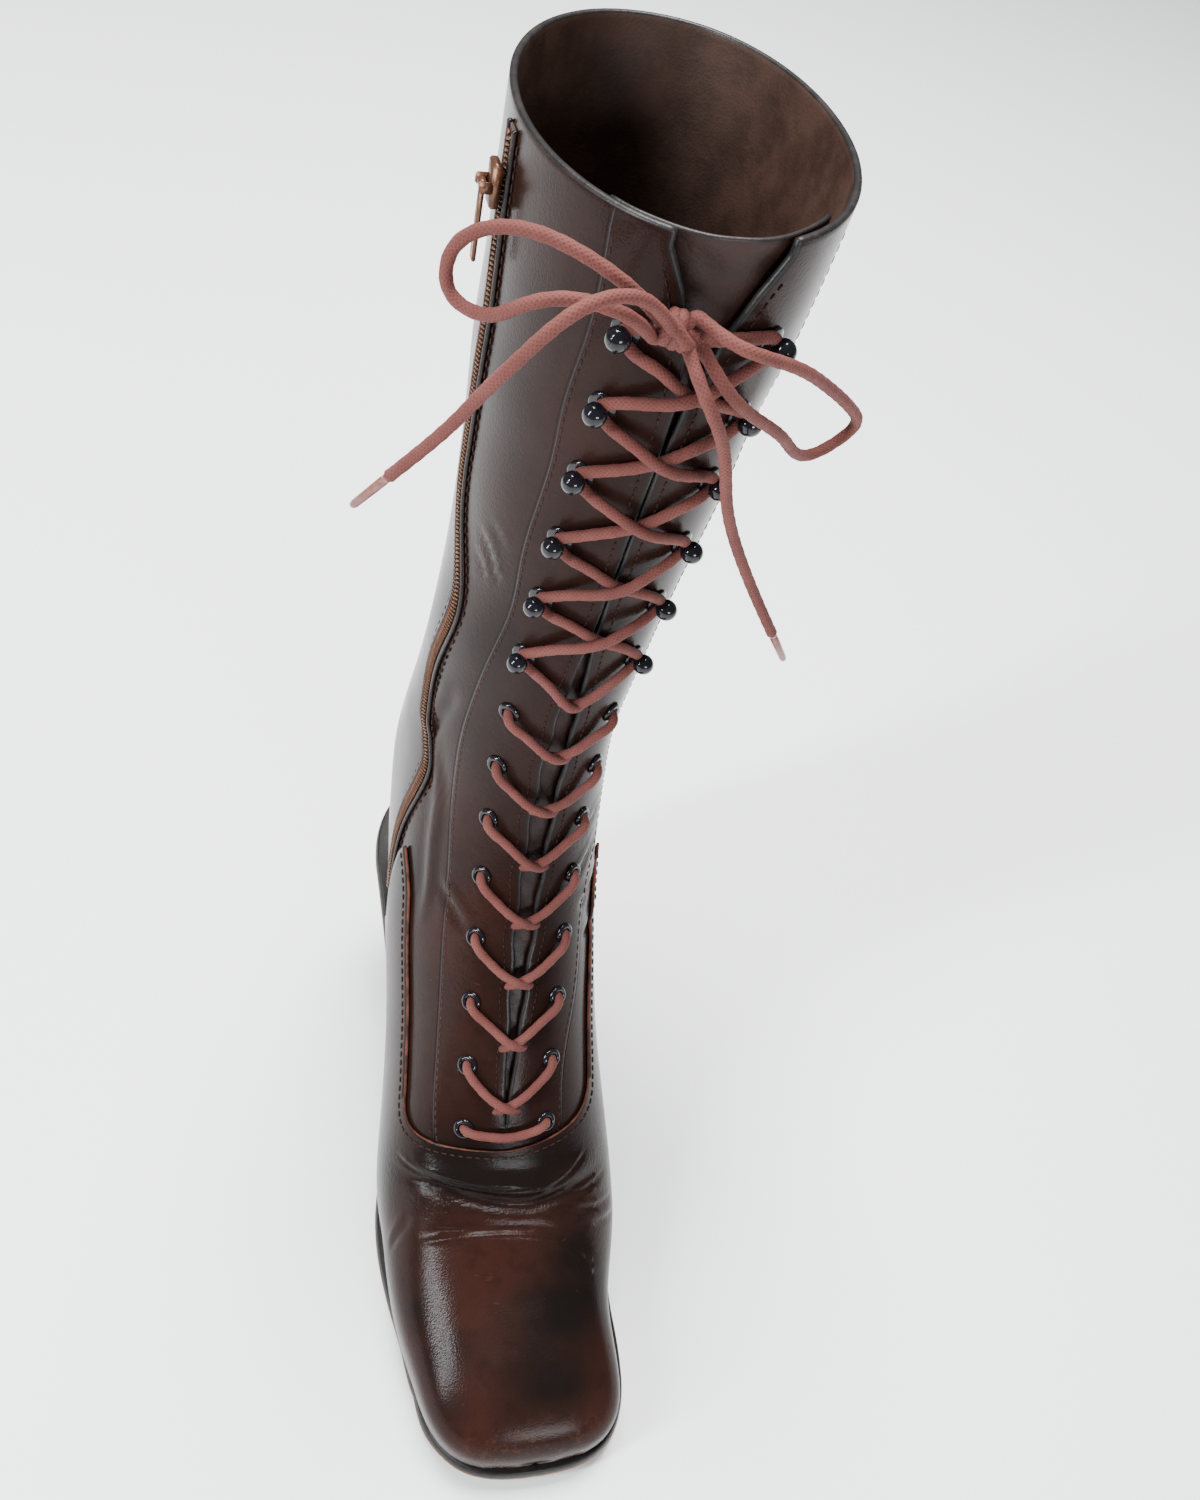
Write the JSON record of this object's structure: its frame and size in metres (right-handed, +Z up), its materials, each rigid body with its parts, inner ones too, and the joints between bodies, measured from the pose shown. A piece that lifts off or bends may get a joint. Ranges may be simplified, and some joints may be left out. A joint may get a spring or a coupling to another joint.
{
  "type": "victorian lace up boot",
  "caption": "Knee-length laced leather boot with square toe, inner side zip, tied bow lace and block heel.",
  "frame": {"origin": "on the floor, in the middle of the heel's top lift", "axes": "+Z up, the toe points to -Y, +X is the outer (little toe) side of this left boot"},
  "size_m": [0.1271, 0.263, 0.3618],
  "materials": {
    "upper_leather": "glossy burnished",
    "vamp_leather": "glossy burnished",
    "tongue_leather": "satin",
    "insole_leather": "matt",
    "sole_leather": "satin painted edge",
    "heel_leather": "satin",
    "top_lift": "matt",
    "black_metal": "gloss lacquer",
    "zip_teeth": "dull bronze",
    "zip_metal": "dull bronze",
    "lace": "waxed",
    "aglet": "gloss"
  },
  "bodies": {
    "boot": {"eyelet_01_inner": "black_metal", "eyelet_01_outer": "black_metal", "eyelet_02_inner": "black_metal", "eyelet_02_outer": "black_metal", "eyelet_03_inner": "black_metal", "eyelet_03_outer": "black_metal", "eyelet_04_inner": "black_metal", "eyelet_04_outer": "black_metal", "eyelet_05_inner": "black_metal", "eyelet_05_outer": "black_metal", "eyelet_06_inner": "black_metal", "eyelet_06_outer": "black_metal", "eyelet_07_inner": "black_metal", "eyelet_07_outer": "black_metal", "eyelet_08_inner": "black_metal", "eyelet_08_outer": "black_metal", "heel_block": "heel_leather", "heel_top_lift": "top_lift", "hook_09_inner": "black_metal", "hook_09_outer": "black_metal", "hook_10_inner": "black_metal", "hook_10_outer": "black_metal", "hook_11_inner": "black_metal", "hook_11_outer": "black_metal", "hook_12_inner": "black_metal", "hook_12_outer": "black_metal", "hook_13_inner": "black_metal", "hook_13_outer": "black_metal", "hook_14_inner": "black_metal", "hook_14_outer": "black_metal", "insole": "insole_leather", "lace_aglet_inner": "aglet", "lace_aglet_outer": "aglet", "lace_bar_01": "lace", "lace_cross_10": "lace", "lace_cross_11": "lace", "lace_cross_12": "lace", "lace_cross_13": "lace", "lace_cross_14": "lace", "lace_end_inner": "lace", "lace_end_outer": "lace", "lace_knot": "lace", "lace_loop_inner": "lace", "lace_loop_outer": "lace", "lace_vee_02": "lace", "lace_vee_03": "lace", "lace_vee_04": "lace", "lace_vee_05": "lace", "lace_vee_06": "lace", "lace_vee_07": "lace", "lace_vee_08": "lace", "lace_vee_09": "lace", "outsole": "sole_leather", "tongue": "tongue_leather", "upper": "upper_leather", "vamp": "vamp_leather", "zip": "zip_teeth", "zip_slider": "zip_metal"},
    "pull": {"zip_pull": "zip_metal"}
  },
  "joints": [
    {"name": "zip_pull_swing", "type": "hinge", "parent": "boot", "child": "pull", "pos_m": [-0.02367, -0.02223, 0.34489], "axis": [-0.0645, 0.9968, 0.0463], "range_deg": [0, 170]}
  ]
}
